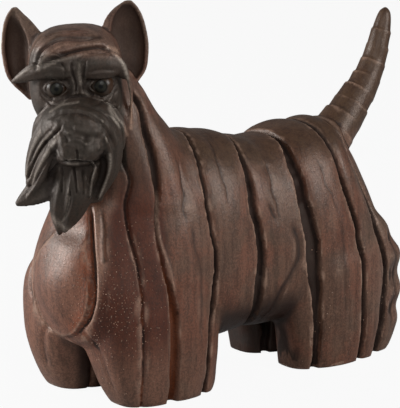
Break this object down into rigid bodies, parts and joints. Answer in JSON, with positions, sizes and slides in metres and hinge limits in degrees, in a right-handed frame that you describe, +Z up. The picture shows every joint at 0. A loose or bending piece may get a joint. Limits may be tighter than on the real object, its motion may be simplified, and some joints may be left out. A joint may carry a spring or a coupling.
{
  "type": "dog figurine",
  "caption": "Standing terrier figurine with bearded, turned head, raised tail and a coat of broad overlapping straps; a decorative cast statue that rests on its feet",
  "frame": {"origin": "middle of the overall box, on the floor under the feet", "axes": "+Z up; the body faces -Y with the tail towards +Y; +X is the dog's left side, and the head is turned 52 degrees towards it"},
  "size_m": [0.1616, 0.4372, 0.3544],
  "materials": {
    "brown_resin": "brown stained cast resin, satin, with dark wiped crevices"
  },
  "bodies": {
    "root": {"dog": "brown_resin"}
  },
  "joints": []
}
